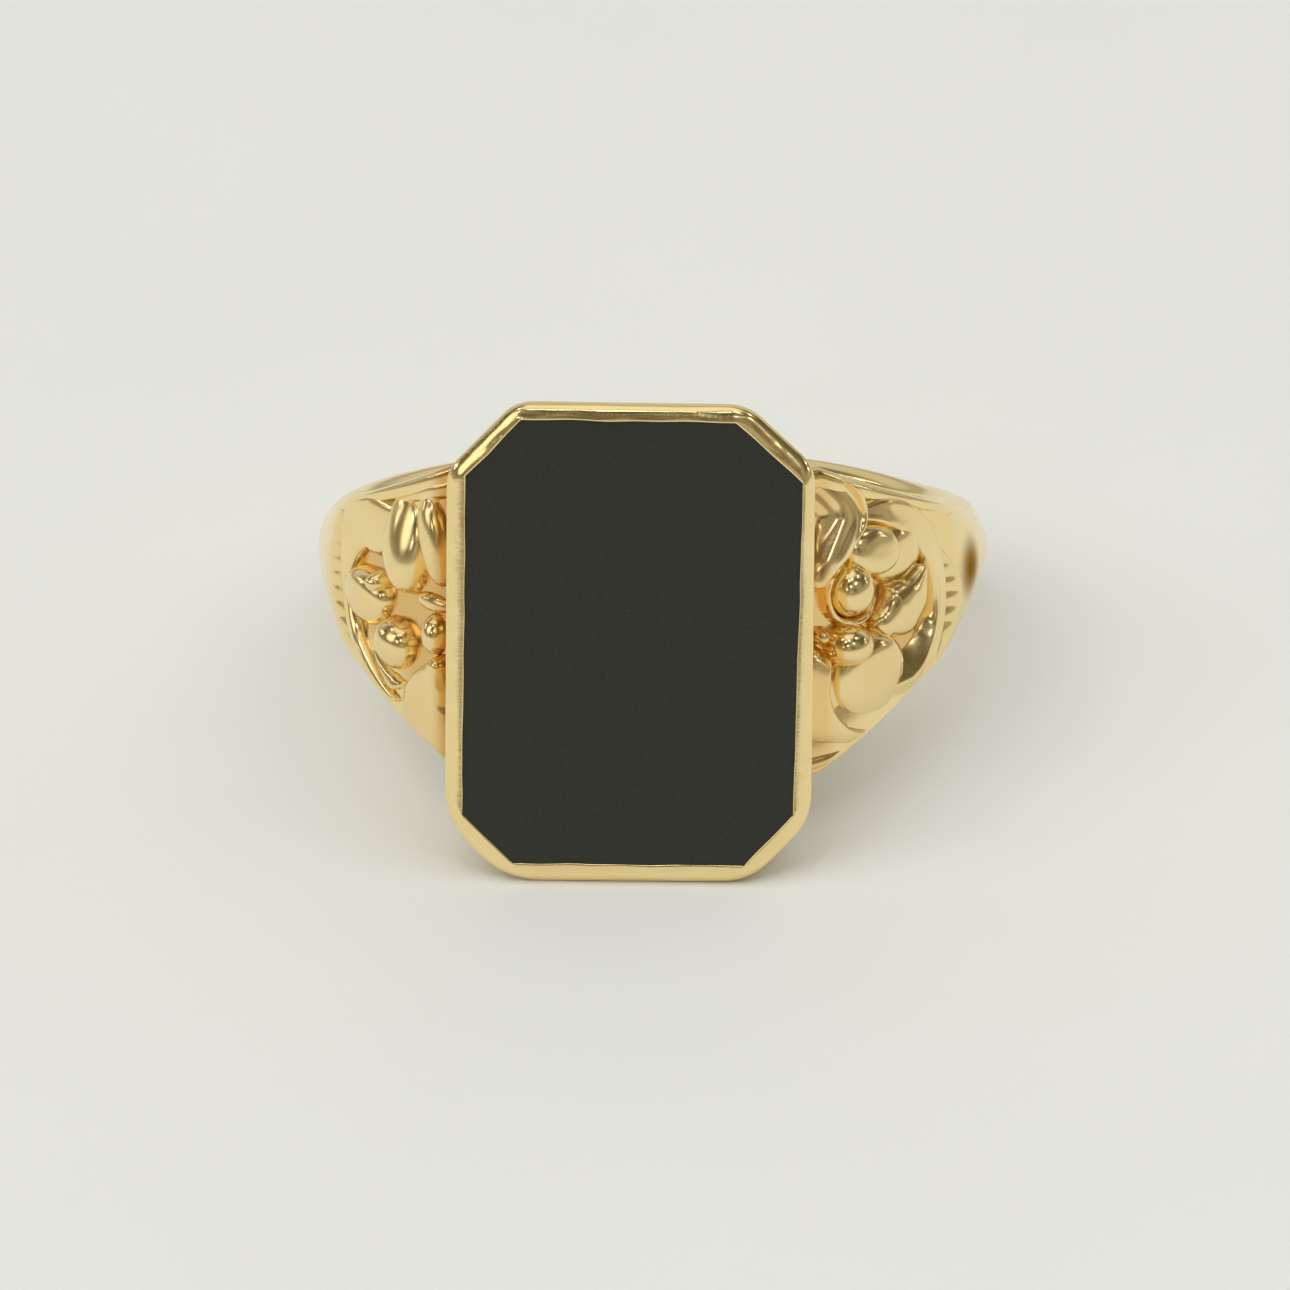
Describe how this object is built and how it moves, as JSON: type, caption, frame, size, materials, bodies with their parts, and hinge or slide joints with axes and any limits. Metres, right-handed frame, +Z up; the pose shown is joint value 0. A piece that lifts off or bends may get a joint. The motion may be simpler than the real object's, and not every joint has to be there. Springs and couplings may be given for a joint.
{
  "type": "signet ring",
  "caption": "Signet ring: flat cut-corner black stone in a plain tapered collet, shoulders with scroll, petal and berry relief, plain tapering shank.",
  "frame": {"origin": "centre of the bounding box in X and Y, at the level of the table the ring rests on", "axes": "+Z up; the ring rests on the lower edge of its collet and the lower edge of the back of its shank, with the signet face towards -Y and turned up by 16.4 degrees; +X is across the finger; the finger hole runs along (0, 0.2825, 0.9593)"},
  "size_m": [0.0222, 0.0248, 0.0151],
  "materials": {
    "gold": "polished",
    "relief_gold": "gloss",
    "onyx": "polished"
  },
  "bodies": {
    "root": {"onyx_tablet": "onyx", "collet": "gold", "stone_bearing": "gold", "bridge_plate": "gold", "shank": "gold", "right_shoulder": "gold", "right_milled_edge": "relief_gold", "right_upper_berry": "relief_gold", "right_lower_berry": "relief_gold", "right_collet_bead": "relief_gold", "right_scroll_leaf": "relief_gold", "right_scroll_rim": "relief_gold", "right_upper_petal": "relief_gold", "right_curled_petal": "relief_gold", "right_middle_petal": "relief_gold", "right_lower_petal": "relief_gold", "right_base_leaf": "relief_gold", "left_shoulder": "gold", "left_milled_edge": "relief_gold", "left_upper_berry": "relief_gold", "left_lower_berry": "relief_gold", "left_collet_bead": "relief_gold", "left_scroll_leaf": "relief_gold", "left_scroll_rim": "relief_gold", "left_upper_petal": "relief_gold", "left_curled_petal": "relief_gold", "left_middle_petal": "relief_gold", "left_lower_petal": "relief_gold", "left_base_leaf": "relief_gold"}
  },
  "joints": []
}
